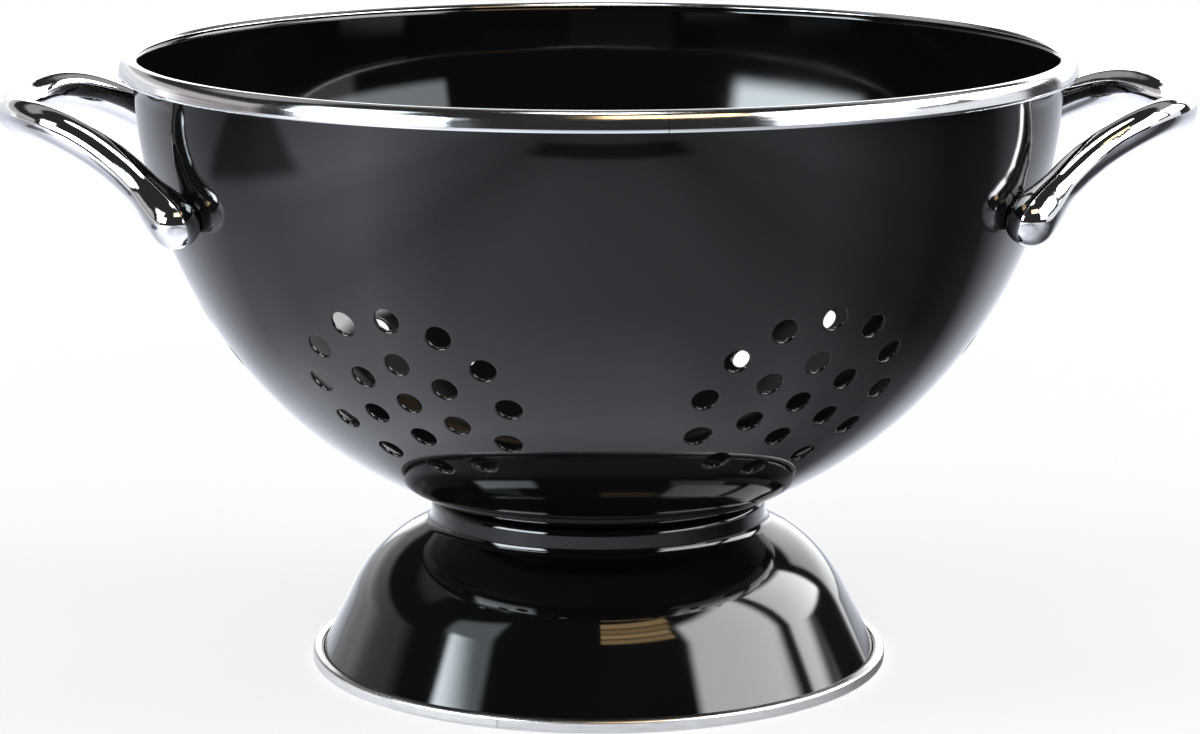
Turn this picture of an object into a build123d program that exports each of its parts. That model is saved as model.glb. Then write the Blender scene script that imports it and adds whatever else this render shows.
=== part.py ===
from build123d import *
from math import atan2, cos, degrees, radians, sin, sqrt
import os

# Footed colander: enamelled steel bowl and foot, steel trim bands, two cast bow handles.
# +Z is up, the table is at zero, +X runs through the handles and -Y is the front.

# Overall sizes, in millimetres
rim_diameter = 240.0  # over the trim band
overall_height = 156.8  # table to the crown of the trim band
sheet = 1.0  # steel and enamel together
seat_gap = 0.1  # between pieces that are crimped or screwed together
overrun = 3.0  # how far every cut runs past what it cuts

# Bowl: an elliptical wall on a small flat floor, with its edge rolled outwards
edge_roll_radius = 1.95  # outside radius of the rolled edge
floor_height = 43.0  # table to the underside of the flat floor
floor_cut = 7.95  # depth of the ellipse that the flat floor takes away
floor_blend = 10.0  # outside radius between floor and wall

# Trim band round the rim
rim_strip = 0.5  # thickness of the strip
rim_strip_height = 5.1
rim_curl = 1.0  # outside radius of the curled lower edge
rim_curl_sweep = 115.0  # degrees the curl turns in
rim_wrap = 50.0  # degrees the strip reaches inwards past the crown
rim_seam_angle = -83.7  # where the two ends of the strip meet, from +X
seam_gap = 0.15

# Drain holes: round clusters of one, six and twelve
hole_diameter = 6.2
inner_ring_radius = 12.45
outer_ring_radius = 25.0
inner_ring_count = 6
outer_ring_count = 12
ring_turn = -3.6  # degrees the punch pattern is turned in its own plane
side_cluster_angles = (-119.5, -61.0, -1.0, 58.7, 118.9, 179.0)  # from +X, about a sixth of a turn apart
side_cluster_rise = 40.1  # from the floor up to its middle on the outside of the wall

# Foot: a collar under the bowl, a shoulder and a spreading skirt
collar_radius = 43.0
collar_height = 6.2  # down to where collar and shoulder would meet in a corner
collar_bend = 2.0  # outside radius at the top of the collar
collar_fillet = 3.0
weld_flange_width = 12.0  # inwards from the collar, clear of the floor holes
shoulder_across_share = 0.548  # shoulder corner, on the way out from collar to skirt edge
shoulder_down_share = 0.241  # shoulder corner, on the way down from collar to bottom flange
shoulder_fillet = 34.0
bottom_flange_width = 2.5
skirt_fillet = 0.8

# Trim band round the bottom of the foot
foot_diameter = 147.6  # over the trim band
foot_strip = 0.45  # thickness of the strip
foot_strip_height = 3.3
foot_strip_width = 2.0
foot_strip_corner = 0.9  # outside radius
foot_seam_angle = -110.6

# Handles: one cast bow on each side, with a ball at both ends
handle_projection = 26.2  # middle of the grip beyond the trim band
handle_drop = 14.6  # middle of the grip below the crown of the rim
grip_diameter = 8.4
arm_diameter = 9.0  # where an arm starts to swell into its ball
corner_setback = 14.4  # the grip's ends are this much nearer the bowl than its middle
corner_half_width = 36.4
arm_top_out_share = 0.72  # top of an arm, on the way from ball to corner: outwards
arm_top_in_share = 0.8  # towards the middle of the grip
arm_top_up_share = 0.81  # upwards
ball_swell_share = 0.17  # length of an arm's swelling, as a share of half the bow
bow_section_count = 33
ball_section_count = 6  # round sections that close each ball
ball_section_sweep = 84.0  # degrees of the ball that they close, to a small flat
foot_ball_diameter = 12.4
foot_ball_angle = 29.5  # degrees from the handle's middle to each ball
foot_ball_drop = 18.8  # from the middle of the grip down to the screw's hole in the wall
foot_ball_flat = 1.4  # depth of the ball that its seat on the wall takes away

# Screws and washers inside the bowl
screw_diameter = 4.0
screw_engagement = 6.4  # length inside the ball
screw_head_diameter = 7.8
screw_head_height = 2.6
head_edge_share = 0.55  # straight part of the head's side
screw_recess_width = 0.9
screw_recess_length = 4.2
screw_recess_depth = 1.5
thread_gap = 0.05
tap_spare_depth = 1.0
wall_hole_clearance = 0.3  # round the screw
washer_clearance = 0.15  # round the screw
washer_rim = 0.6  # that shows round the head
washer_thickness = 0.8
washer_lift = 0.15  # a flat washer stands this far off the middle of the curved wall


# Rolled edge of the bowl, which the trim band wraps
bead_radius_out = rim_diameter / 2
lip_radius = bead_radius_out - rim_strip - seat_gap
bowl_radius = lip_radius - 2 * edge_roll_radius + sheet
bead_middle_radius = lip_radius - edge_roll_radius
bead_middle_height = overall_height - rim_strip - seat_gap - edge_roll_radius
bowl_drop = bead_middle_height - floor_height + floor_cut
rim_strip_bottom = overall_height - rim_strip_height
lip_bottom = rim_strip_bottom + rim_curl

# Places of the handles and their screws
handle_reach = bead_radius_out + handle_projection
handle_height = overall_height - handle_drop
foot_ball_height = handle_height - foot_ball_drop
seat_angles = {
    "right_front": -foot_ball_angle,
    "right_rear": foot_ball_angle,
    "left_front": 180 + foot_ball_angle,
    "left_rear": 180 - foot_ball_angle,
}


def wall_radius(height):
    """Outside radius of the wall at a height."""
    share = (bead_middle_height - height) / bowl_drop
    return bowl_radius * sqrt(1 - share**2)


def wall_tilt(height):
    """Angle that the wall's outward normal points down, in degrees."""
    drop = bead_middle_height - height
    return degrees(atan2(drop * bowl_radius**2, wall_radius(height) * bowl_drop**2))


def wall_plane(angle, height):
    """Plane on the outside of the wall: Z points straight out of it, X lies level."""
    tilt = radians(wall_tilt(height))
    turn = radians(angle)
    radius = wall_radius(height)
    return Plane(
        origin=(radius * cos(turn), radius * sin(turn), height),
        x_dir=(-sin(turn), cos(turn), 0),
        z_dir=(cos(tilt) * cos(turn), cos(tilt) * sin(turn), -sin(tilt)),
    )


def bowl_half(inset):
    """Half section of the bowl's solid shape, drawn in from its outside by an inset."""
    radius = bowl_radius - inset
    drop = bowl_drop - inset
    floor = floor_height + inset
    quarter_share = sqrt(1 / 2)  # weight that makes the curve a true quarter ellipse
    with BuildSketch(Plane.XZ) as half:
        with BuildLine():
            Line((0, bead_middle_height), (radius, bead_middle_height))
            Bezier(
                (radius, bead_middle_height),
                (radius, bead_middle_height - drop),
                (0, bead_middle_height - drop),
                weights=(1, quarter_share, 1),
            )
            Line((0, bead_middle_height - drop), (0, bead_middle_height))
        make_face()
        with Locations((0, floor)):
            Rectangle(radius, bead_middle_height - floor, align=Align.MIN, mode=Mode.INTERSECT)
    return half.sketch


def drain_cluster(plane):
    """One cluster of drain holes, drawn on a plane."""
    with BuildSketch(plane) as cluster:
        Circle(hole_diameter / 2)
        with PolarLocations(inner_ring_radius, inner_ring_count, start_angle=90 + ring_turn):
            Circle(hole_diameter / 2)
        with PolarLocations(outer_ring_radius, outer_ring_count, start_angle=90 + ring_turn):
            Circle(hole_diameter / 2)
    return cluster.sketch


def save(part, name):
    part.label = name
    export_step(part, f"parts/{name}.step")


os.makedirs("parts", exist_ok=True)

# Bowl
with BuildPart() as bowl:
    revolve(bowl_half(0), axis=Axis.Z)
    fillet(bowl.edges().group_by(Axis.Z)[0], radius=floor_blend)
    revolve(bowl_half(sheet), axis=Axis.Z, mode=Mode.SUBTRACT)
    inner_floor_edge = bowl.edges().filter_by(
        lambda edge: abs(edge.center().Z - floor_height - sheet) < seat_gap
    )
    fillet(inner_floor_edge, radius=floor_blend - sheet)
    with BuildSketch(Plane.XZ):
        with BuildLine():
            bend = CenterArc(
                (bead_middle_radius, bead_middle_height),
                edge_roll_radius - sheet / 2,
                180,
                -180,
            )
            Line(bend @ 1, (lip_radius - sheet / 2, lip_bottom))
        trace(line_width=sheet)
    revolve(axis=Axis.Z)
    for angle in side_cluster_angles:
        cluster = drain_cluster(wall_plane(angle, floor_height + side_cluster_rise))
        extrude(cluster, amount=outer_ring_radius, both=True, mode=Mode.SUBTRACT)
    extrude(drain_cluster(Plane.XY.offset(floor_height)), amount=2 * sheet, mode=Mode.SUBTRACT)
    for angle in seat_angles.values():
        with BuildSketch(wall_plane(angle, foot_ball_height)):
            Circle(screw_diameter / 2 + wall_hole_clearance)
        extrude(amount=overrun, both=True, mode=Mode.SUBTRACT)
save(bowl.part, "bowl")

# Trim band round the rim
with BuildPart() as rim_band:
    with BuildSketch(Plane.XZ):
        with BuildLine():
            crown = CenterArc(
                (bead_middle_radius, bead_middle_height),
                edge_roll_radius + seat_gap + rim_strip / 2,
                90 + rim_wrap,
                -90 - rim_wrap,
            )
            Line(crown @ 1, (bead_radius_out - rim_strip / 2, lip_bottom))
            CenterArc(
                (bead_radius_out - rim_curl, lip_bottom),
                rim_curl - rim_strip / 2,
                0,
                -rim_curl_sweep,
            )
        trace(line_width=rim_strip)
    revolve(axis=Axis.Z)
    with BuildSketch(Plane.XY.offset(rim_strip_bottom)):
        with PolarLocations(bead_middle_radius, 1, start_angle=rim_seam_angle):
            Rectangle(2 * rim_strip_height, seam_gap)
    extrude(amount=rim_strip_height, mode=Mode.SUBTRACT)
save(rim_band.part, "rim_band")

# Foot
foot_radius = foot_diameter / 2
skirt_radius = foot_radius - bottom_flange_width
collar_foot_height = floor_height - collar_height
bottom_flange_height = foot_strip_height - foot_strip - seat_gap / 2
bottom_lip_radius = foot_radius - foot_strip - seat_gap
shoulder_radius = collar_radius + (skirt_radius - collar_radius) * shoulder_across_share
shoulder_fall = (collar_foot_height - bottom_flange_height) * shoulder_down_share
shoulder_height = collar_foot_height - shoulder_fall
with BuildPart() as foot:
    with BuildSketch(Plane.XZ):
        with BuildLine():
            FilletPolyline(
                (collar_radius - weld_flange_width, floor_height - sheet / 2),
                (collar_radius - sheet / 2, floor_height - sheet / 2),
                (collar_radius - sheet / 2, collar_foot_height - sheet / 2),
                (shoulder_radius - sheet / 2, shoulder_height - sheet / 2),
                (skirt_radius - sheet / 2, bottom_flange_height - sheet / 2),
                (bottom_lip_radius - sheet / 2, bottom_flange_height - sheet / 2),
                (bottom_lip_radius - sheet / 2, foot_strip_corner),
                radius=(
                    collar_bend - sheet / 2,
                    collar_fillet + sheet / 2,
                    shoulder_fillet - sheet / 2,
                    skirt_fillet,
                    sheet / 2,
                ),
            )
        trace(line_width=sheet)
    revolve(axis=Axis.Z)
save(foot.part, "foot")

# Trim band round the bottom of the foot
with BuildPart() as foot_band:
    with BuildSketch(Plane.XZ):
        with BuildLine():
            FilletPolyline(
                (foot_radius - foot_strip_width, foot_strip / 2),
                (foot_radius - foot_strip / 2, foot_strip / 2),
                (foot_radius - foot_strip / 2, foot_strip_height - foot_strip / 2),
                (foot_radius - foot_strip_width, foot_strip_height - foot_strip / 2),
                radius=foot_strip_corner - foot_strip / 2,
            )
        trace(line_width=foot_strip)
    revolve(axis=Axis.Z)
    with BuildSketch():
        with PolarLocations(foot_radius, 1, start_angle=foot_seam_angle):
            Rectangle(2 * foot_strip_width + overrun, seam_gap)
    extrude(amount=foot_strip_height, mode=Mode.SUBTRACT)
save(foot_band.part, "foot_band")

# Handles
foot_ball_standoff = foot_ball_diameter / 2 - foot_ball_flat
ball_middle = (wall_plane(foot_ball_angle, foot_ball_height).offset(foot_ball_standoff)).origin
arm_top = (
    ball_middle.X + (handle_reach - corner_setback - ball_middle.X) * arm_top_out_share,
    ball_middle.Y + (corner_half_width - ball_middle.Y) * arm_top_in_share,
    ball_middle.Z + (handle_height - ball_middle.Z) * arm_top_up_share,
)
corner = (handle_reach - corner_setback, corner_half_width, handle_height)
half_bow = [tuple(ball_middle), arm_top, corner]
other_half_bow = [(x, -y, z) for x, y, z in reversed(half_bow)]


def bow_radius(share):
    """Radius of the bow at a share of its length, from one ball to the other."""
    from_middle_share = abs(2 * share - 1)
    arm_share = from_middle_share**2
    bar = grip_diameter / 2 + (arm_diameter - grip_diameter) / 2 * arm_share
    swell_share = max(0, from_middle_share - 1 + ball_swell_share) / ball_swell_share
    smooth_share = swell_share**2 * (3 - 2 * swell_share)
    return bar + (foot_ball_diameter / 2 - bar) * smooth_share


# Each section of a bow: its share of the bow's length, how far it is past that end, its radius
bow_sections = []
for index in range(bow_section_count):
    share = index / (bow_section_count - 1)
    bow_sections.append((share, 0, bow_radius(share)))
for index in range(1, ball_section_count + 1):
    turn = radians(index / ball_section_count * ball_section_sweep)
    past_end = foot_ball_diameter / 2 * sin(turn)
    radius = foot_ball_diameter / 2 * cos(turn)
    bow_sections.insert(0, (0, -past_end, radius))
    bow_sections.append((1, past_end, radius))

with BuildPart() as handle_right:
    with BuildLine() as bow:
        Spline(*half_bow, (handle_reach, 0, handle_height), *other_half_bow)
    for share, past_end, radius in bow_sections:
        along = bow.line % share
        level = Vector(0, 0, 1).cross(along)
        middle = bow.line @ share + along * past_end
        with BuildSketch(Plane(origin=middle, x_dir=level, z_dir=along)):
            Circle(radius)
    loft()
    revolve(bowl_half(-seat_gap), axis=Axis.Z, mode=Mode.SUBTRACT)
    for name in ("right_front", "right_rear"):
        with BuildSketch(wall_plane(seat_angles[name], foot_ball_height)):
            Circle(screw_diameter / 2 + thread_gap)
        extrude(amount=screw_engagement + tap_spare_depth, mode=Mode.SUBTRACT)
save(handle_right.part, "handle_right")

with BuildPart() as handle_left:
    mirror(handle_right.part, about=Plane.YZ)
save(handle_left.part, "handle_left")

# Screws and washers, drawn upright with the outside of the wall at zero
washer_bottom = -sheet - washer_lift - washer_thickness
with BuildPart() as washer:
    with BuildSketch(Plane.XY.offset(washer_bottom)):
        Circle(screw_head_diameter / 2 + washer_rim)
        Circle(screw_diameter / 2 + washer_clearance, mode=Mode.SUBTRACT)
    extrude(amount=washer_thickness)

with BuildPart() as screw:
    with BuildSketch(Plane.XZ):
        with BuildLine():
            edge_height = washer_bottom - screw_head_height * head_edge_share
            under = Line((0, washer_bottom), (screw_head_diameter / 2, washer_bottom))
            Line(under @ 1, (screw_head_diameter / 2, edge_height))
            crown = EllipticalCenterArc(
                (0, edge_height),
                screw_head_diameter / 2,
                screw_head_height * (1 - head_edge_share),
                start_angle=-90,
                arc_size=90,
            )
            Line(crown @ 0, under @ 0)
        make_face()
    revolve(axis=Axis.Z)
    with BuildSketch(Plane.XY.offset(washer_bottom - screw_head_height)):
        Rectangle(screw_recess_length, screw_recess_width)
        Rectangle(screw_recess_width, screw_recess_length)
    extrude(amount=screw_recess_depth, mode=Mode.SUBTRACT)
    with BuildSketch(Plane.XY.offset(washer_bottom)):
        Circle(screw_diameter / 2)
    extrude(amount=screw_engagement - washer_bottom)

for name, angle in seat_angles.items():
    seat = wall_plane(angle, foot_ball_height).location
    with BuildPart() as placed_screw:
        with Locations(seat):
            add(screw.part)
    save(placed_screw.part, f"screw_{name}")
    with BuildPart() as placed_washer:
        with Locations(seat):
            add(washer.part)
    save(placed_washer.part, f"washer_{name}")
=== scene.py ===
import math

import bmesh
import bpy
import numpy as np
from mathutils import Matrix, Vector
from mathutils.geometry import delaunay_2d_cdt


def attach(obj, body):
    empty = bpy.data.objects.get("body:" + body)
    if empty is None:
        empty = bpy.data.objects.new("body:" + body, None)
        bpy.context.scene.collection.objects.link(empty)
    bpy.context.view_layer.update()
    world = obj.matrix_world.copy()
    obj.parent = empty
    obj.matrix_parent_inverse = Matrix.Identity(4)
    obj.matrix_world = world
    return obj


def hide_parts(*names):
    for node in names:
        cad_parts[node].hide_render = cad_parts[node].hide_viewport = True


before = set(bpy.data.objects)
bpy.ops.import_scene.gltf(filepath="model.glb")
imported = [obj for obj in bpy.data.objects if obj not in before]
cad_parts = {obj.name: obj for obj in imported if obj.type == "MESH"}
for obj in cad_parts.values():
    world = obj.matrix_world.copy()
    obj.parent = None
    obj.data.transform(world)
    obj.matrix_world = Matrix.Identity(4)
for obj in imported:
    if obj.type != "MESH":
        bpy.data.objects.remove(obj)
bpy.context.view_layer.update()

print("frame loaded:", len(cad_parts), "pieces")

scene = bpy.context.scene
mm = 0.001


# Helpers for node trees
class Value:
    def __init__(self, tree, socket):
        self.tree = tree
        self.socket = socket

    def math(self, operation, first, second):
        return addNode(self.tree, "ShaderNodeMath", {"operation": operation}, {0: first, 1: second})

    def __add__(self, other):
        return self.math("ADD", self, other)

    def __sub__(self, other):
        return self.math("SUBTRACT", self, other)

    def __rsub__(self, other):
        return self.math("SUBTRACT", other, self)

    def __mul__(self, other):
        return self.math("MULTIPLY", self, other)

    def __truediv__(self, other):
        return self.math("DIVIDE", self, other)

    __radd__ = __add__
    __rmul__ = __mul__


def addNode(tree, kind, settings=None, inputs=None, output=0):
    node = tree.nodes.new(kind)
    for key, setting in (settings or {}).items():
        if key == "stops":
            ramp = node.color_ramp
            while len(ramp.elements) < len(setting):
                ramp.elements.new(0.5)
            for element, (place, colour) in zip(ramp.elements, setting):
                element.position = place
                element.color = (*colour, 1) if len(colour) == 3 else colour
        else:
            setattr(node, key, setting)
    for key, given in (inputs or {}).items():
        if isinstance(given, Value):
            tree.links.new(given.socket, node.inputs[key])
        else:
            node.inputs[key].default_value = given
    return Value(tree, node.outputs[output]) if node.outputs else None


def newMaterial(name):
    material = bpy.data.materials.new(name)
    material.use_nodes = True
    material.node_tree.nodes.clear()
    return material, material.node_tree


def finishMaterial(material, tree, shader):
    addNode(tree, "ShaderNodeOutputMaterial", None, {"Surface": shader})
    return material


def noise(tree, place, scale, detail, roughness=0.5):
    return addNode(
        tree, "ShaderNodeTexNoise", {"noise_dimensions": "3D"},
        {"Vector": place, "Scale": scale, "Detail": detail, "Roughness": roughness}, "Fac",
    )


def spread(tree, value, low, high, newLow, newHigh):
    # a soft step from one level to another
    return addNode(
        tree, "ShaderNodeMapRange", {"interpolation_type": "SMOOTHSTEP", "clamp": True},
        {"Value": value, "From Min": low, "From Max": high, "To Min": newLow, "To Max": newHigh},
    )


def mixColour(tree, share, first, second):
    # sockets 6 and 7 are the colours of the node, output 2 is its colour
    return addNode(
        tree, "ShaderNodeMix", {"data_type": "RGBA"}, {0: share, 6: (*first, 1), 7: (*second, 1)}, 2,
    )


def splitPlace(tree, place):
    # the three parts of a place or direction
    x = addNode(tree, "ShaderNodeSeparateXYZ", None, {0: place}, 0)
    return [Value(tree, output) for output in x.socket.node.outputs]


def rayKinds(tree):
    # 1 for what the camera sees, for what gloss sees, and for what is seen through something clear
    seen = addNode(tree, "ShaderNodeLightPath", None, None, "Is Camera Ray")
    outputs = seen.socket.node.outputs
    return seen, Value(tree, outputs["Is Glossy Ray"]), Value(tree, outputs["Is Transmission Ray"])


rampTop = 2  # a ramp's colours end at 1, so levels are divided by this in it


def levelAlong(tree, place, levels):
    stops = [(spot, (level / rampTop,) * 3) for spot, level in levels]
    ramp = addNode(tree, "ShaderNodeValToRGB", {"stops": stops}, {0: place})
    return addNode(tree, "ShaderNodeRGBToBW", None, {0: ramp}) * rampTop


# Helpers for sections: a row is (radius, height, normal out, normal up)
def arcRows(centre, radius, start, sweep, steps, outwards=1):
    rows = []
    for step in range(steps + 1):
        turn = math.radians(start + sweep * step / steps)
        cos, sin = math.cos(turn), math.sin(turn)
        rows.append((centre[0] + radius * cos, centre[1] + radius * sin, outwards * cos, outwards * sin))
    return rows


def bendOn(rows, radius, end, steps):
    # goes on from the last row with an arc until the normal points at this angle
    r, z, nr, nz = rows[-1]
    start = math.degrees(math.atan2(nz, nr))
    return rows + arcRows((r - nr * radius, z - nz * radius), radius, start, end - start, steps)[1:]


def runOn(rows, length):
    # goes straight on from the last row
    r, z, nr, nz = rows[-1]
    return rows + [(r + nz * length, z - nr * length, nr, nz)]


def filletLine(corners, radii, stepDegrees=7.5):
    # centre line through corners, rounded at each inner one; the normal is to the left of the way along
    rows = []
    points = [Vector(corner) for corner in corners]
    for index, point in enumerate(points):
        if index == 0 or index == len(points) - 1:
            other = points[1] if index == 0 else points[-2]
            along = (other - point) if index == 0 else (point - other)
            along.normalize()
            rows.append((point.x, point.y, -along.y, along.x))
            continue
        before = (point - points[index - 1]).normalized()
        after = (points[index + 1] - point).normalized()
        turn = math.atan2(before.x * after.y - before.y * after.x, before.dot(after))
        radius = radii[index - 1]
        setback = radius * math.tan(abs(turn) / 2)
        side = 1 if turn > 0 else -1
        left = Vector((-before.y, before.x))
        centre = point - before * setback + left * radius * side
        steps = max(2, round(abs(math.degrees(turn)) / stepDegrees))
        for step in range(steps + 1):
            swung = turn * step / steps
            normal = Vector((
                left.x * math.cos(swung) - left.y * math.sin(swung),
                left.x * math.sin(swung) + left.y * math.cos(swung),
            ))
            spot = centre - normal * radius * side
            rows.append((spot.x, spot.y, normal.x, normal.y))
    return rows


def sheetLoop(line, thickness, endSteps=4):
    # closed section of a sheet that follows a line, with round edges
    half = thickness / 2
    left = [(r + nr * half, z + nz * half, nr, nz) for r, z, nr, nz in line]
    right = [(r - nr * half, z - nz * half, -nr, -nz) for r, z, nr, nz in line]
    loop = list(left)
    for (r, z, nr, nz), side in ((line[-1], 1), (line[0], -1)):
        for step in range(1, endSteps):
            turn = math.pi * step / endSteps
            # from the left normal round the end to the right one, or back again
            cos, sin = math.cos(turn) * side, math.sin(turn) * side
            along = (nz, -nr)
            out = (nr * cos + along[0] * sin, nz * cos + along[1] * sin)
            loop.append((r + out[0] * half, z + out[1] * half, *out))
        if side == 1:
            loop += right[::-1]
    return loop


def revolveLoop(loop, columns, start=0.0, sweep=360.0):
    # vertices, normals and faces of a closed section turned about Z; part turns get end faces
    whole = sweep >= 360
    turns = [math.radians(start + sweep * column / columns) for column in range(columns + (not whole))]
    points, normals, faces = [], [], []
    size = len(loop)
    for turn in turns:
        cos, sin = math.cos(turn), math.sin(turn)
        for r, z, nr, nz in loop:
            points.append((r * cos, r * sin, z))
            normals.append((nr * cos, nr * sin, nz))
    for column in range(columns):
        here, there = column * size, (column + 1) % len(turns) * size
        for index in range(size):
            after = (index + 1) % size
            faces.append((here + index, there + index, there + after, here + after))
    if not whole:
        faces.append(tuple(range(size)))
        faces.append(tuple(range(columns * size, (columns + 1) * size)))
    return points, normals, faces


def makePiece(name, points, normals, faces, material, node, slot):
    mesh = bpy.data.meshes.new(name)
    mesh.from_pydata([tuple(point) for point in points], [], faces)
    shape = bmesh.new()
    shape.from_mesh(mesh)
    bmesh.ops.recalc_face_normals(shape, faces=shape.faces)
    if shape.calc_volume(signed=True) < 0:
        bmesh.ops.reverse_faces(shape, faces=shape.faces)
    shape.to_mesh(mesh)
    shape.free()
    mesh.polygons.foreach_set("use_smooth", [True] * len(mesh.polygons))
    split = []
    for polygon in mesh.polygons:
        endFace = len(polygon.vertices) > 4  # these lie flat, all others are smooth
        for index in polygon.vertices:
            split.append(tuple(polygon.normal) if endFace else tuple(normals[index]))
    mesh.normals_split_custom_set(split)
    mesh.materials.append(material)
    piece = bpy.data.objects.new(name, mesh)
    scene.collection.objects.link(piece)
    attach(piece, "root")
    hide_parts(node)
    print("made", name, "with", len(faces), "faces")


# Materials
noiseLow, noiseHigh = 0.3, 0.7  # nearly all noise lies between these


def surfacePlace(tree):
    return addNode(tree, "ShaderNodeTexCoord", None, None, "Object")


def roundPlace(tree, aroundScale, acrossScale):
    # fine across the strip, slow along it: angle round Z, radius and height
    x, y, z = splitPlace(tree, surfacePlace(tree))
    angle = x.math("ARCTAN2", y, x)
    radius = x.math("SQRT", x * x + y * y, 0)
    return addNode(
        tree, "ShaderNodeCombineXYZ", None,
        {0: angle * aroundScale, 1: radius * acrossScale, 2: z * acrossScale},
    )


enamel = dict(
    colour=(0.0026, 0.0028, 0.0031),
    paleColour=(0.0042, 0.0044, 0.0048),
    lowRoughness=0.035,
    highRoughness=0.075,
    refraction=1.42,  # so that the wall's reflections suit the chrome's
    cloudScale=24.0,
    cloudDetail=3.0,
    peelScale=420.0,  # per metre, the fine orange peel of fired enamel
    peelHeight=0.0000012,
    waveScale=38.0,
    waveHeight=0.00006,
)


def makeEnamel():
    material, tree = newMaterial("blackEnamel")
    place = surfacePlace(tree)
    cloud = noise(tree, place, enamel["cloudScale"], enamel["cloudDetail"])
    peel = noise(tree, place, enamel["peelScale"], 1.0)
    wave = noise(tree, place, enamel["waveScale"], 0.0)
    height = peel * enamel["peelHeight"] + wave * enamel["waveHeight"]
    low, high = enamel["lowRoughness"], enamel["highRoughness"]
    shader = addNode(tree, "ShaderNodeBsdfPrincipled", None, {
        "Base Color": mixColour(tree, cloud, enamel["colour"], enamel["paleColour"]),
        "Roughness": spread(tree, cloud, noiseLow, noiseHigh, low, high),
        "IOR": enamel["refraction"],
        "Normal": addNode(tree, "ShaderNodeBump", None, {"Strength": 1.0, "Distance": 1.0, "Height": height}),
    })
    return finishMaterial(material, tree, shader)


metal = dict(cloudScale=60.0, cloudDetail=3.0, streakDetail=4.0, streakRoughness=0.65)


def makeMetal(name, colour, darkColour, roughness, streaks, bumps):
    # bright metal: streaks are (around, across, strength, height), each bump is (scale, height)
    material, tree = newMaterial(name)
    place = surfacePlace(tree)
    cloud = noise(tree, place, metal["cloudScale"], metal["cloudDetail"])
    height = sum(noise(tree, place, bumpScale, 1.0) * bumpHeight for bumpScale, bumpHeight in bumps)
    rough = spread(tree, cloud, noiseLow, noiseHigh, *roughness)
    shade = cloud
    if streaks:
        around, across, strength, streakHeight = streaks
        strip = roundPlace(tree, around, across)
        line = noise(tree, strip, 1.0, metal["streakDetail"], metal["streakRoughness"])
        rough = rough + (line - 0.5) * strength
        height = height + line * streakHeight
        shade = spread(tree, line, noiseLow, noiseHigh, 0.0, 1.0)
    shader = addNode(tree, "ShaderNodeBsdfPrincipled", None, {
        "Base Color": mixColour(tree, shade, darkColour, colour),
        "Metallic": 1.0,
        "Roughness": rough,
        "Normal": addNode(tree, "ShaderNodeBump", None, {"Strength": 1.0, "Distance": 1.0, "Height": height}),
    })
    return finishMaterial(material, tree, shader)


blackEnamel = makeEnamel()
castChrome = makeMetal(
    "castChrome", (0.76, 0.76, 0.77), (0.68, 0.68, 0.70), (0.02, 0.07), None,
    ((130.0, 0.00012), (620.0, 0.000016)),
)
polishedStrip = makeMetal(
    "polishedStrip", (0.76, 0.76, 0.77), (0.66, 0.66, 0.68), (0.08, 0.16),
    (9.0, 2600.0, 0.08, 0.0000008), ((160.0, 0.00003),),
)
brushedStrip = makeMetal(
    "brushedStrip", (0.70, 0.69, 0.67), (0.55, 0.54, 0.52), (0.26, 0.36),
    (14.0, 5200.0, 0.16, 0.0000012), ((200.0, 0.00002),),
)
screwSteel = makeMetal(
    "screwSteel", (0.66, 0.66, 0.66), (0.55, 0.55, 0.56), (0.16, 0.26), None, ((900.0, 0.00001),),
)
washerSteel = makeMetal(
    "washerSteel", (0.62, 0.62, 0.61), (0.52, 0.52, 0.52), (0.22, 0.34), None, ((700.0, 0.00001),),
)
print("materials ready")


# Bowl
bowl = dict(
    wallRadius=116.5 * mm,
    wallDrop=119.2 * mm,
    sheet=1.0 * mm,
    edgeHeight=154.25 * mm,  # where the wall turns into the rolled edge
    floorHeight=43.0 * mm,
    floorBlend=10.0 * mm,
    rollRadius=1.75 * mm,
    rollMiddle=117.25 * mm,
    lipBottom=152.7 * mm,
    rollSteps=20,
    rollInnerSteps=14,
    blendSteps=6,
    blendStart=0.8,  # least lean at which the blend may meet the wall
    blendLeans=4000,
    blendTries=60,
    flatMargin=4.0 * mm,  # flat floor outside the last ring of holes
    columns=180,
    wallRows=56,
    sectorEnds=(-24, 24, 90, 156, 204, 270, 336),  # degrees, between the hole clusters, even numbers
)
drain = dict(
    radius=3.1 * mm,
    edge=0.48 * mm,  # rounding of the enamelled edge of each hole
    rings=((0.0, 1), (12.45 * mm, 6), (25.0 * mm, 12)),
    turn=-3.6,
    height=83.1 * mm,
    angles=(-1.0, 58.7, 118.9, 179.0, 240.5, 299.0),  # one cluster in each sector
    points=44,
    edgeSteps=4,
    sameSpot=1e-9,  # places nearer than this would be one
    clear=0.7 * mm,  # the wall's own grid stays this far from a hole's edge
    depth=20.0 * mm,  # and is only looked at this close to the hole's middle
)
screwSeat = dict(height=123.4 * mm, angle=29.5, holeRadius=2.3 * mm, edge=0.3 * mm)


def wallNormal(point, radius, drop):
    normal = Vector((point[0] / radius**2, point[1] / radius**2, (point[2] - bowl["edgeHeight"]) / drop**2))
    return normal.normalized()


def wallSpot(turn, lean, radius, drop):
    # turn is the angle round Z, lean the ellipse's own angle below the edge
    level = radius * math.cos(lean)
    height = bowl["edgeHeight"] - drop * math.sin(lean)
    return Vector((level * math.cos(turn), level * math.sin(turn), height))


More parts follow.
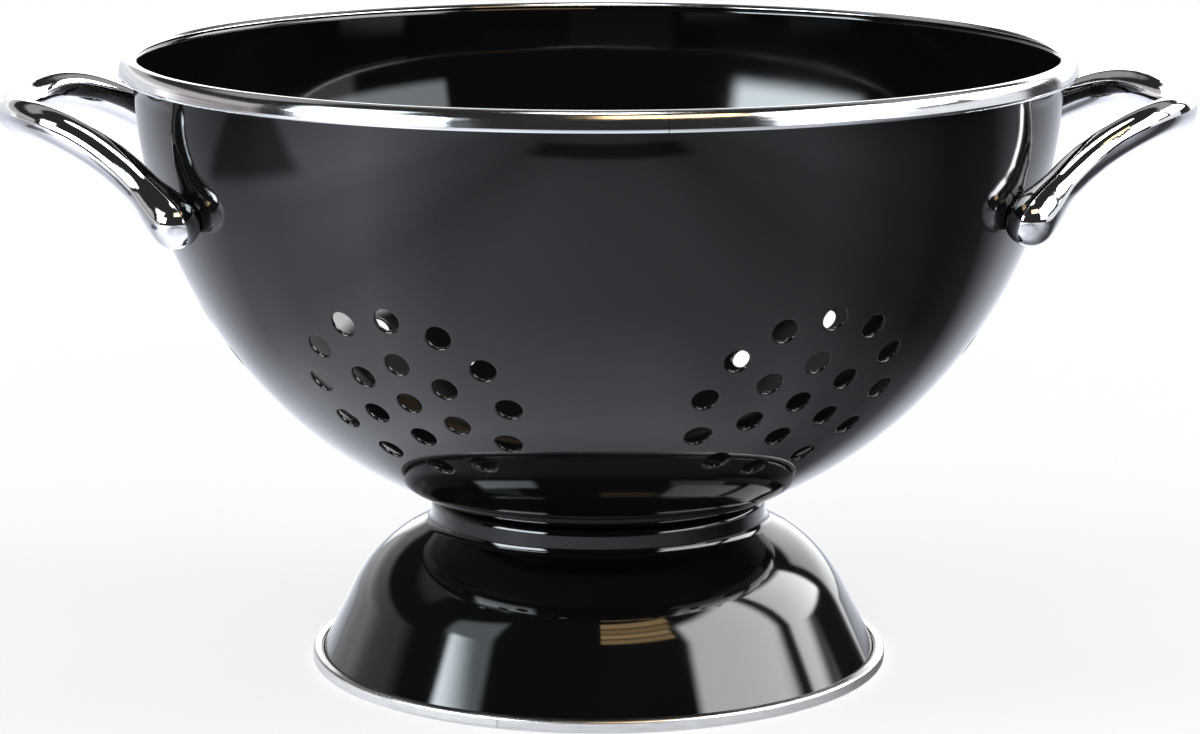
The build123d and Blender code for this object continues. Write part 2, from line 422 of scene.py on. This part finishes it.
def wallAxes(angle, height):
    # a place on the outside of the wall, the level way, the way up the wall and the way out
    lean = math.asin((bowl["edgeHeight"] - height) / bowl["wallDrop"])
    turn = math.radians(angle)
    spot = wallSpot(turn, lean, bowl["wallRadius"], bowl["wallDrop"])
    out = wallNormal(spot, bowl["wallRadius"], bowl["wallDrop"])
    level = Vector((-math.sin(turn), math.cos(turn), 0))
    return spot, level, out.cross(level), out


def ontoWall(point, out, radius, drop):
    # moves a point along the way out until it lies on the ellipsoid
    scale = Vector((1 / radius, 1 / radius, 1 / drop))
    start = Vector((point[0] * scale[0], point[1] * scale[1], (point[2] - bowl["edgeHeight"]) * scale[2]))
    way = Vector((out[0] * scale[0], out[1] * scale[1], out[2] * scale[2]))
    a, b, c = way.dot(way), 2 * start.dot(way), start.dot(start) - 1
    return point + out * ((-b + math.sqrt(b * b - 4 * a * c)) / (2 * a))


def clusterSpots():
    # places of one cluster's holes in its own plane
    spots = []
    for ring, count in drain["rings"]:
        for index in range(count):
            turn = math.radians(90 + drain["turn"] + 360 * index / count)
            spots.append((ring * math.cos(turn), ring * math.sin(turn)))
    return spots


def wallHoles(sector):
    # every hole in one sector of the wall: middle, level way, way up, way out, radius, edge
    start, end = bowl["sectorEnds"][sector:sector + 2]
    spot, level, up, out = wallAxes(drain["angles"][sector], drain["height"])
    holes = []
    for x, y in clusterSpots():
        holes.append((spot + level * x + up * y, level, up, out, drain["radius"], drain["edge"]))
    for seat in (screwSeat["angle"], -screwSeat["angle"], 180 - screwSeat["angle"], 180 + screwSeat["angle"]):
        if (seat - start) % 360 < end - start:
            holes.append((*wallAxes(seat, screwSeat["height"]), screwSeat["holeRadius"], screwSeat["edge"]))
    return holes


def blendSection(radius, drop, floor, blend):
    # rows of the rounding between floor and wall, and the lean where the wall takes over
    leans = np.linspace(bowl["blendStart"], math.pi / 2, bowl["blendLeans"])
    heights = bowl["edgeHeight"] - drop * np.sin(leans) - floor - blend
    low, high = 0.0, radius
    for _ in range(bowl["blendTries"]):
        middle = (low + high) / 2
        away = np.hypot(radius * np.cos(leans) - middle, heights)
        if away.min() > blend:
            low = middle
        else:
            high = middle
    lean = leans[away.argmin()]
    touch = (radius * math.cos(lean), bowl["edgeHeight"] - drop * math.sin(lean))
    end = math.degrees(math.atan2(touch[1] - floor - blend, touch[0] - middle))
    rows = arcRows((middle, floor + blend), blend, -90, end + 90, bowl["blendSteps"])
    return rows, float(lean)


def buildBowl():
    points, normals, faces = [], [], []

    def add(point, normal):
        points.append(tuple(point))
        normals.append(tuple(normal))
        return len(points) - 1

    columns = bowl["columns"]
    turns = [2 * math.pi * column / columns for column in range(columns)]

    def addRow(row):
        r, z, nr, nz = row
        return [
            add((r * math.cos(turn), r * math.sin(turn), z), (nr * math.cos(turn), nr * math.sin(turn), nz))
            for turn in turns
        ]

    def bridge(first, second):
        for column in range(columns):
            after = (column + 1) % columns
            faces.append((first[column], first[after], second[after], second[column]))

    def fill(places, ringEdges, taken):
        # triangles over flat places; those that lie inside a hole's ring are left out
        found = delaunay_2d_cdt([Vector(place) for place in places], ringEdges, [], 0, drain["sameSpot"])
        given = [origin[0] for origin in found[3]]
        for face in found[2]:
            corners = [given[index] for index in face]
            rings = {taken[index][1] for index in corners}
            if len(rings) == 1 and None not in rings:
                continue
            faces.append(tuple(taken[index][0] for index in corners))

    def side(radius, drop, floor, blend, outside):
        sign = 1 if outside else -1
        blendRows, lastLean = blendSection(radius, drop, floor, blend)
        leans = [lastLean * row / (bowl["wallRows"] - 1) for row in range(bowl["wallRows"])]
        grid = []
        for lean in leans:
            row = [wallSpot(turn, lean, radius, drop) for turn in turns]
            grid.append([add(spot, wallNormal(spot, radius, drop) * sign) for spot in row])
        rings = []
        for sector in range(len(drain["angles"])):
            holes = wallHoles(sector)
            start, end = bowl["sectorEnds"][sector:sector + 2]
            firstColumn, perSector = start * columns // 360, (end - start) * columns // 360
            middleTurn = math.radians(start + end) / 2
            places, taken, ringEdges = [], [], []
            for row, lean in enumerate(leans):
                for step in range(perSector + 1):
                    index = grid[row][(firstColumn + step) % columns]
                    spot = Vector(points[index])
                    if any(tooNear(spot, hole) for hole in holes):
                        continue
                    turn = 2 * math.pi * (firstColumn + step) / columns - middleTurn
                    places.append((turn, -lean))
                    taken.append((index, None))
            for number, hole in enumerate(holes):
                ring = []
                base = len(places)
                for spot, normal in ringSpots(hole, 0, radius, drop, sign):
                    ring.append(add(spot, normal))
                    turn = (math.atan2(spot.y, spot.x) - middleTurn + math.pi) % (2 * math.pi) - math.pi
                    places.append((turn, -math.asin((bowl["edgeHeight"] - spot.z) / drop)))
                    taken.append((ring[-1], number))
                count = len(ring)
                ringEdges += [(base + index, base + (index + 1) % count) for index in range(count)]
                rings.append((hole, ring))
            fill(places, ringEdges, taken)
        # the blend and the flat floor with its own cluster
        last = grid[-1]
        for r, z, nr, nz in blendRows[-2::-1]:
            row = addRow((r, z, nr * sign, nz * sign))
            bridge(last, row)
            last = row
        flatRadius = drain["rings"][-1][0] + drain["radius"] + bowl["flatMargin"]
        row = addRow((flatRadius, floor, 0, -sign))
        bridge(last, row)
        places = [points[index][:2] for index in row]
        taken = [(index, None) for index in row]
        ringEdges = []
        for number, (x, y) in enumerate(clusterSpots()):
            hole = (Vector((x, y, floor)), Vector((1, 0, 0)), Vector((0, 1, 0)), Vector((0, 0, -1)),
                    drain["radius"], drain["edge"])
            ring = []
            base = len(places)
            for spot, normal in ringSpots(hole, 0, None, None, sign):
                ring.append(add(spot, normal))
                places.append((spot.x, spot.y))
                taken.append((ring[-1], number))
            count = len(ring)
            ringEdges += [(base + index, base + (index + 1) % count) for index in range(count)]
            rings.append((hole, ring))
        fill(places, ringEdges, taken)
        return grid, rings

    def tooNear(spot, hole):
        middle, level, up, out, radius, edge = hole
        offset = spot - middle
        beside = math.hypot(offset.dot(level), offset.dot(up)) < radius + edge + drain["clear"]
        return beside and abs(offset.dot(out)) < drain["depth"]

    def ringSpots(hole, quarter, radius, drop, sign):
        # quarter 0 is on the face of the sheet, 1 is in the throat of the hole
        middle, level, up, out, holeRadius, edge = hole
        turnIn = math.pi / 2 * quarter
        reach = holeRadius + edge * (1 - math.sin(turnIn))
        depth = edge * (1 - math.cos(turnIn))
        spots = []
        for index in range(drain["points"]):
            turn = 2 * math.pi * index / drain["points"]
            radial = level * math.cos(turn) + up * math.sin(turn)
            spot = middle + radial * reach
            if radius is None:
                normal = Vector((0, 0, -sign))
            else:
                spot = ontoWall(spot, out, radius, drop)
                normal = wallNormal(spot, radius, drop) * sign
            bent = normal * math.cos(turnIn) - radial * math.sin(turnIn)
            spots.append((spot - out * sign * depth, bent.normalized()))
        return spots

    sizes = [
        (bowl["wallRadius"], bowl["wallDrop"], bowl["floorHeight"], bowl["floorBlend"], True),
        (bowl["wallRadius"] - bowl["sheet"], bowl["wallDrop"] - bowl["sheet"],
         bowl["floorHeight"] + bowl["sheet"], bowl["floorBlend"] - bowl["sheet"], False),
    ]
    (outerGrid, outerRings), (innerGrid, innerRings) = [side(*size) for size in sizes]

    # the rounded edges and throats of the holes
    for (hole, outerRing), (otherHole, innerRing) in zip(outerRings, innerRings):
        flat = hole[3].z < -0.999  # a hole in the floor, whose way out is straight down
        chain = [outerRing]
        for (radius, drop, *_, outside), edgeHole in zip(sizes, (hole, otherHole)):
            sign = 1 if outside else -1
            rows = []
            for step in range(1, drain["edgeSteps"] + 1):
                spots = ringSpots(edgeHole, step / drain["edgeSteps"], None if flat else radius, drop, sign)
                rows.append([add(spot, normal) for spot, normal in spots])
            chain += rows if outside else rows[::-1]
        chain.append(innerRing)
        for first, second in zip(chain, chain[1:]):
            count = len(first)
            for index in range(count):
                after = (index + 1) % count
                faces.append((first[index], first[after], second[after], second[index]))

    # the rolled edge, from the outside of the wall over the top to its inside
    middle = (bowl["rollMiddle"], bowl["edgeHeight"])
    under = arcRows(middle, bowl["rollRadius"] - bowl["sheet"], 180, -180, bowl["rollInnerSteps"], -1)
    over = arcRows(middle, bowl["rollRadius"], 0, 180, bowl["rollSteps"])
    lip = bowl["lipBottom"]
    rows = under[1:] + [(under[-1][0], lip, -1, 0)]
    rows += [(under[-1][0] + bowl["sheet"] / 2, lip, 0, -1), (over[0][0], lip, 1, 0)] + over[:-1]
    last = outerGrid[0]
    for row in rows:
        made = addRow(row)
        bridge(last, made)
        last = made
    bridge(last, innerGrid[0])
    return points, normals, faces


makePiece("bowl_shell", *buildBowl(), blackEnamel, "bowl", "black_enamel")


# Trim band round the rim
rimBand = dict(
    strip=0.45 * mm, middle=(117.2 * mm, 154.6 * mm), crownRadius=2.2 * mm, start=140.0,
    shoulder=30.0, faceRadius=5.5 * mm, faceLean=10.0, faceRun=1.1 * mm,  # outer sizes, angles of the normal
    curlRadius=0.9 * mm, curlEnd=-105.0,
    crownSteps=20, faceSteps=6, curlSteps=14,
    seamAngle=-83.7, seamGap=0.15 * mm, columns=240,
)


def buildRimBand():
    half, start = rimBand["strip"] / 2, rimBand["start"]
    sweep, steps = rimBand["shoulder"] - start, rimBand["crownSteps"]
    line = arcRows(rimBand["middle"], rimBand["crownRadius"] - half, start, sweep, steps)
    line = bendOn(line, rimBand["faceRadius"] - half, rimBand["faceLean"], rimBand["faceSteps"])
    line = runOn(line, rimBand["faceRun"])
    line = bendOn(line, rimBand["curlRadius"] - half, rimBand["curlEnd"], rimBand["curlSteps"])
    loop = sheetLoop(line, rimBand["strip"])
    gap = math.degrees(rimBand["seamGap"] / rimBand["middle"][0])
    return revolveLoop(loop, rimBand["columns"], rimBand["seamAngle"] + gap / 2, 360 - gap)


makePiece("rim_strip", *buildRimBand(), polishedStrip, "rim_band", "polished_band")


# Foot
foot = dict(
    sheet=1.0 * mm,
    # middle of the sheet: flange, collar, shoulder, skirt, bottom flange, and the radius of each bend, in mm
    corners=(
        (31.0, 42.5), (42.5, 42.5), (42.5, 36.3), (58.008, 28.106),
        (70.8, 2.3), (72.75, 2.3), (72.75, 0.9),
    ),
    radii=(1.5, 3.5, 33.5, 0.8, 0.5),
    stepDegrees=4.0,
    columns=200,
)


def buildFoot():
    corners = [(r * mm, z * mm) for r, z in foot["corners"]]
    line = filletLine(corners, [radius * mm for radius in foot["radii"]], foot["stepDegrees"])
    return revolveLoop(sheetLoop(line, foot["sheet"]), foot["columns"])


makePiece("foot_shell", *buildFoot(), blackEnamel, "foot", "black_enamel")


# Trim band round the foot
footBand = dict(
    radius=73.8 * mm, strip=0.45 * mm, height=3.3 * mm, width=2.0 * mm, corner=0.9 * mm,
    seamAngle=-110.6, seamGap=0.15 * mm, columns=240,
)


def buildFootBand():
    half = footBand["strip"] / 2
    inside, outside = footBand["radius"] - footBand["width"], footBand["radius"] - half
    low, high = half, footBand["height"] - half
    corners = ((inside, low), (outside, low), (outside, high), (inside, high))
    line = filletLine(corners, [footBand["corner"] - half] * 2)
    gap = math.degrees(footBand["seamGap"] / footBand["radius"])
    loop = sheetLoop(line, footBand["strip"])
    return revolveLoop(loop, footBand["columns"], footBand["seamAngle"] + gap / 2, 360 - gap)


makePiece("foot_strip", *buildFootBand(), brushedStrip, "foot_band", "brushed_band")


# Handles
handle = dict(
    reach=146.2 * mm, height=142.2 * mm, cornerSetback=14.4 * mm, cornerHalfWidth=36.4 * mm,
    armTopShares=(0.72, 0.8, 0.81), gripRadius=4.2 * mm, armRadius=4.5 * mm,
    ballRadius=6.2 * mm, ballStandoff=4.8 * mm, swellShare=0.17, seatGap=0.1 * mm,
    rings=220, sides=64, capRings=14,
    capEnd=0.985,  # the rounded cap stops just short of its pole
    fineSteps=1200,
)


def smoothLine(places, count):
    # natural cubic through the places, spaced evenly along its length
    places = np.array(places, float)
    knots = np.concatenate([[0], np.cumsum(np.linalg.norm(np.diff(places, axis=0), axis=1))])
    size = len(places)
    gaps = np.diff(knots)
    matrix, right = np.zeros((size, size)), np.zeros((size, 3))
    matrix[0, 0] = matrix[-1, -1] = 1
    for index in range(1, size - 1):
        before, after = gaps[index - 1], gaps[index]
        matrix[index, index - 1:index + 2] = before, 2 * (before + after), after
        stepIn, stepOut = places[index] - places[index - 1], places[index + 1] - places[index]
        right[index] = 6 * (stepOut / after - stepIn / before)
    bend = np.linalg.solve(matrix, right)

    def at(knot):
        index = min(size - 2, max(0, int(np.searchsorted(knots, knot) - 1)))
        gap = gaps[index]
        a, b = (knots[index + 1] - knot) / gap, (knot - knots[index]) / gap
        return (
            a * places[index] + b * places[index + 1]
            + ((a**3 - a) * bend[index] + (b**3 - b) * bend[index + 1]) * gap**2 / 6
        )

    fine = np.array([at(knot) for knot in np.linspace(0, knots[-1], handle["fineSteps"])])
    lengths = np.concatenate([[0], np.cumsum(np.linalg.norm(np.diff(fine, axis=0), axis=1))])
    even = np.linspace(0, lengths[-1], count)
    return np.stack([np.interp(even, lengths, fine[:, axis]) for axis in range(3)], axis=1)


def bowRadius(share):
    # radius along the bow, where share goes from 0 at one ball to 1 at the other
    fromMiddle = abs(2 * share - 1)
    bar = handle["gripRadius"] + (handle["armRadius"] - handle["gripRadius"]) * fromMiddle**2
    swell = max(0, fromMiddle - 1 + handle["swellShare"]) / handle["swellShare"]
    return bar + (handle["ballRadius"] - bar) * swell**2 * (3 - 2 * swell)


def buildHandle(side):
    spot, *_, out = wallAxes(screwSeat["angle"], screwSeat["height"])
    ball = spot + out * handle["ballStandoff"]
    corner = Vector((handle["reach"] - handle["cornerSetback"], handle["cornerHalfWidth"], handle["height"]))
    armTop = [ball[axis] + (corner[axis] - ball[axis]) * handle["armTopShares"][axis] for axis in range(3)]
    half = [tuple(ball), tuple(armTop), tuple(corner)]
    places = half + [(handle["reach"], 0, handle["height"])] + [(x, -y, z) for x, y, z in half[::-1]]
    line = smoothLine(places, handle["rings"])
    along = np.gradient(line, axis=0)
    along /= np.linalg.norm(along, axis=1)[:, None]
    rings = []
    for index in range(handle["rings"]):
        rings.append((line[index], along[index], bowRadius(index / (handle["rings"] - 1)), 0.0))
    for cap in range(1, handle["capRings"] + 1):
        turn = math.pi / 2 * cap / handle["capRings"] * handle["capEnd"]
        reach, radius = handle["ballRadius"] * math.sin(turn), handle["ballRadius"] * math.cos(turn)
        rings.insert(0, (line[0] - along[0] * reach, along[0], radius, -turn))
        rings.append((line[-1] + along[-1] * reach, along[-1], radius, turn))
    points, normals, faces = [], [], []
    seatRadius = bowl["wallRadius"] + handle["seatGap"]
    seatDrop = bowl["wallDrop"] + handle["seatGap"]
    sides = handle["sides"]
    for number, (middle, way, radius, turn) in enumerate(rings):
        way = Vector(way)
        across = Vector((0, 0, 1)).cross(way).normalized()
        upward = way.cross(across)
        nearby = rings[min(number + 1, len(rings) - 1)], rings[max(number - 1, 0)]
        run = (Vector(nearby[0][0]) - Vector(nearby[1][0])).length
        slope = 0 if turn else (nearby[0][2] - nearby[1][2]) / run
        for step in range(sides):
            angle = 2 * math.pi * step / sides
            radial = across * math.cos(angle) + upward * math.sin(angle)
            point = Vector(middle) + radial * radius
            normal = (radial * math.cos(turn) + way * math.sin(turn)) if turn else (radial - way * slope)
            depth = (point.z - bowl["edgeHeight"]) / seatDrop
            if Vector((point.x / seatRadius, point.y / seatRadius, depth)).length < 1:
                # inside the wall, so it moves out onto it
                wall = wallNormal(point, seatRadius, seatDrop)
                point = ontoWall(point, wall, seatRadius, seatDrop)
                normal = -wall
            points.append((point.x * side, point.y, point.z))
            normals.append((normal.x * side, normal.y, normal.z))
    for number in range(len(rings) - 1):
        for step in range(sides):
            after = (step + 1) % sides
            here, there = number * sides, (number + 1) * sides
            faces.append((here + step, here + after, there + after, there + step))
    for base, order in ((0, -1), ((len(rings) - 1) * sides, 1)):
        faces.append(tuple(range(base, base + sides))[::order])
    return points, normals, faces


for name, side in (("right", 1), ("left", -1)):
    makePiece(f"bow_{name}", *buildHandle(side), castChrome, f"handle_{name}", "chrome_casting")


# Screws and washers keep their own shape
fasteners = (("screw", screwSteel, "screw_steel"), ("washer", washerSteel, "washer_steel"))
for name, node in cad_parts.items():
    for start, material, slot in fasteners:
        if name.startswith(start):
            node.data.materials.clear()
            node.data.materials.append(material)
print("screws and washers finished")


# Floor
stage = dict(
    floorSize=9.0,
    floorColour=(0.88, 0.88, 0.88),
    # the share of it that glows white for the camera: this much near the foot, all of it far out
    glow=0.7,
    farGlowStart=0.12,
    farGlowEnd=0.55,
    # what gloss and chrome see of it: a tint, and a brightness by the angle round the object,
    # where 0 is the front and 90 its right
    glossTint=(0.94, 0.98, 1.08),
    glossByAngle=(
        (-180, 0.75), (-135, 0.70), (-100, 0.40), (-78, 0.63), (-54, 1.25), (-34, 0.76), (0, 0.57),
        (30, 0.47), (48, 0.43), (66, 0.15), (85, 0.03), (103, 0.05), (122, 0.55), (150, 0.80), (180, 0.75),
    ),
    # a factor by the distance to either side in metres, for what lies in front
    glossBySide=(
        (0, 1), (0.09, 1), (0.14, 0.85), (0.2, 0.72), (0.28, 0.98), (0.36, 1.1), (0.46, 1.55), (0.62, 1.75),
    ),
    frontFull=-0.12,
    frontNone=0.02,
    # a factor by the distance from the middle
    near=0.15,
    far=0.85,
    nearGain=1.76,
    farGain=1.13,
    # evens it out close to the foot, less so on the right
    closeLevel=1.55,
    closeShare=0.7,
    closeStart=0.12,
    closeEnd=0.20,
    closeFull=0.02,
    closeLess=0.07,
    closeRight=0.15,
    # the foot's own shade on the floor
    contactLevel=0.7,
    contactStart=0.074,
    contactEnd=0.094,
    # dark patches: share, then middle, half width and blur in x, and the same in y
    shades=(
        (0.85, (0.02, 0.17, 0.07), (-0.70, 0.065, 0.035)),
        (0.75, (-0.74, 0.23, 0.08), (-0.02, 0.11, 0.06)),
    ),
)


def distanceOut(tree):
    x, y, _ = splitPlace(tree, surfacePlace(tree))
    return x.math("SQRT", x * x + y * y, 0)


def floorGloss(tree):
    x, y, _ = splitPlace(tree, surfacePlace(tree))
    turn = x.math("ARCTAN2", x, 0 - y) / (2 * math.pi) + 0.5
    around = [((angle + 180) / 360, level) for angle, level in stage["glossByAngle"]]
    away = distanceOut(tree)
    gain = spread(tree, away, stage["near"], stage["far"], stage["nearGain"], stage["farGain"])
    front = spread(tree, y, stage["frontFull"], stage["frontNone"], 1.0, 0.0)
    aside = levelAlong(tree, x.math("ABSOLUTE", x, 0), stage["glossBySide"])
    gain = gain * ((aside - 1) * front + 1)
    close = spread(tree, away, stage["closeStart"], stage["closeEnd"], stage["closeShare"], 0.0)
    close = close * spread(tree, x, stage["closeFull"], stage["closeLess"], 1.0, stage["closeRight"])
    level = levelAlong(tree, turn, around) * gain
    level = level * (1 - close) + close * stage["closeLevel"]
    level = level * spread(tree, away, stage["contactStart"], stage["contactEnd"], stage["contactLevel"], 1.0)
    for share, *bands in stage["shades"]:
        shade = share
        for part, (middle, half, blur) in zip((x, y), bands):
            offset = part - middle
            shade = spread(tree, offset.math("ABSOLUTE", offset, 0), half, half + blur, 1.0, 0.0) * shade
        level = level * (1 - shade)
    return level


def buildFloor():
    half = stage["floorSize"] / 2
    mesh = bpy.data.meshes.new("floor")
    corners = [(-half, -half, 0), (half, -half, 0), (half, half, 0), (-half, half, 0)]
    mesh.from_pydata(corners, [], [(0, 1, 2, 3)])
    material, tree = newMaterial("paleFloor")
    seen, glossy, through = rayKinds(tree)
    diffuse = addNode(tree, "ShaderNodeBsdfDiffuse", None, {"Color": (*stage["floorColour"], 1)})
    strength = floorGloss(tree) * glossy + (1 - glossy)
    tint = mixColour(tree, glossy, (1, 1, 1), stage["glossTint"])
    glow = addNode(tree, "ShaderNodeEmission", None, {"Color": tint, "Strength": strength})
    distant = spread(tree, distanceOut(tree), stage["farGlowStart"], stage["farGlowEnd"], stage["glow"], 1.0)
    share = (seen + through) * distant + glossy
    mixed = addNode(tree, "ShaderNodeMixShader", None, {0: share, 1: diffuse, 2: glow})
    mesh.materials.append(finishMaterial(material, tree, mixed))
    floor = bpy.data.objects.new("floor", mesh)
    scene.collection.objects.link(floor)


buildFloor()


# Light
light = dict(
    fill=0.40,  # of the world, on the object and the floor
    room=0.03,  # of the dim room in gloss and chrome
    # what gloss and chrome see of the room, in degrees: 0 is the rear, 90 the right, then the rise
    panes=(
        # from, to, lowest, highest, blur, slope of the top edge, brightness, colour
        (87, 135, 20, 53, 3.0, -0.1, 12.4, (0.97, 0.99, 1.0)),
        (103, 139, 9.5, 20, 1.2, 0.0, 5.6, (0.86, 0.94, 1.0)),
        (46, 80, 14, 33, 1.6, 0.42, 10.0, (0.97, 0.99, 1.0)),
        (-60, 39, -12, 9, 5.0, 0.0, 0.9, (0.95, 0.98, 1.0)),
        (-14, 39, -12, 23, 2.0, 0.05, 2.3, (0.97, 0.99, 1.0)),
        (-114, -52, -12, 4, 2.0, 0.0, 0.75, (1.0, 0.93, 0.95)),
        (-92, -15, 6, 19, 2.0, 0.0, 0.55, (1.0, 0.93, 0.94)),
        (-200, 180, 82, 95, 2.0, 0.0, 10.0, (1.0, 1.0, 1.0)),  # straight above, all the way round
        (-75, 75, 35, 54, 4.0, 0.0, 0.35, (0.97, 0.98, 1.0)),
        (62, 112, -12, 12, 2.0, 0.0, 1.1, (0.93, 0.96, 1.0)),
        (-141, -103, 10, 28, 2.5, 0.0, 24.0, (0.84, 0.94, 1.0)),
        (-125, -99, 27, 48, 2.5, -0.4, 2.6, (0.82, 0.96, 1.0)),
        (140, 180, 40, 43.4, 0.6, 0.0, 4.6, (1.0, 0.68, 0.33)),
        (140, 180, 44.4, 47.6, 0.6, 0.0, 6.0, (1.0, 0.70, 0.36)),
        (138, 180, 48.4, 52, 0.6, 0.0, 4.0, (1.0, 0.66, 0.30)),
        (136, 180, 53, 57, 0.6, 0.0, 5.4, (1.0, 0.68, 0.33)),
    ),
    softboxes=(
        # name, angle, rise, distance, width, height, brightness, colour
        ("leftWindow", -108, 43, 1.3, 0.86, 0.74, 5.6, (0.95, 0.98, 1.0)),
        ("rightWindow", 98, 40, 1.3, 0.80, 0.80, 6.0, (1.0, 1.0, 1.0)),
    ),
    aim=(0, 0, 0.08),
)


def paneLevel(tree, turn, rise, shape):
    start, end, low, high, blur, slope, brightness = shape
    sides = spread(tree, turn, start - blur, start + blur, 0.0, 1.0)
    if end < 180:  # one that ends at the very front has no edge there
        sides = sides * spread(tree, turn, end - blur, end + blur, 1.0, 0.0)
    fromTop = rise - (turn - start) * slope if slope else rise
    upright = spread(tree, rise, low - blur, low + blur, 0.0, 1.0)
    return sides * upright * spread(tree, fromTop, high - blur, high + blur, 1.0, 0.0) * brightness


def buildWorld():
    world = bpy.data.worlds.new("studio")
    scene.world = world
    world.use_nodes = True
    tree = world.node_tree
    tree.nodes.clear()
    seen, glossy, through = rayKinds(tree)
    x, y, z = splitPlace(tree, addNode(tree, "ShaderNodeTexCoord", None, None, "Generated"))
    turn = x.math("ARCTAN2", x, y) * math.degrees(1)
    rise = z.math("ARCSINE", z, 0) * math.degrees(1)
    red, green, blue = (glossy * light["room"] + (1 - glossy) * light["fill"] for _ in range(3))
    for *shape, colour in light["panes"]:
        level = paneLevel(tree, turn, rise, shape) * glossy
        red, green, blue = (part + level * share for part, share in zip((red, green, blue), colour))
    shown = seen + through
    colour = addNode(tree, "ShaderNodeCombineColor", None, {
        0: red * (1 - shown) + shown, 1: green * (1 - shown) + shown, 2: blue * (1 - shown) + shown,
    })
    background = addNode(tree, "ShaderNodeBackground", None, {"Color": colour, "Strength": 1.0})
    addNode(tree, "ShaderNodeOutputWorld", None, {"Surface": background})


def buildSoftboxes():
    for name, angle, rise, distance, width, height, brightness, colour in light["softboxes"]:
        turn, lift = math.radians(angle), math.radians(rise)
        way = Vector((math.sin(turn) * math.cos(lift), math.cos(turn) * math.cos(lift), math.sin(lift)))
        lamp = bpy.data.lights.new(name, "AREA")
        lamp.shape = "RECTANGLE"
        lamp.size, lamp.size_y = width, height
        lamp.energy = brightness * math.pi * width * height
        lamp.color = colour
        holder = bpy.data.objects.new(name, lamp)
        holder.location = Vector(light["aim"]) + way * distance
        holder.rotation_euler = (-way).to_track_quat("-Z", "Y").to_euler()
        holder.visible_camera = False
        holder.visible_glossy = False  # the world's panes stand for them there
        scene.collection.objects.link(holder)


# Camera
camera = dict(
    distance=0.95816, height=0.267128, pitch=11.316, yaw=1.2,
    lens=114.675, sensor=36, axisPixel=598.6, frameWidth=1200,
)


def buildCamera():
    data = bpy.data.cameras.new("camera")
    data.sensor_width = camera["sensor"]
    data.lens = camera["lens"]
    data.shift_x = (camera["frameWidth"] / 2 - camera["axisPixel"]) / camera["frameWidth"]
    holder = bpy.data.objects.new("camera", data)
    yaw = math.radians(camera["yaw"])
    distance = camera["distance"]
    holder.location = (-distance * math.sin(yaw), -distance * math.cos(yaw), camera["height"])
    holder.rotation_euler = (math.radians(90 - camera["pitch"]), 0, -yaw)
    scene.collection.objects.link(holder)
    scene.camera = holder


buildWorld()
buildSoftboxes()
buildCamera()
scene.view_settings.view_transform = "Standard"
print("stage, light and camera ready")
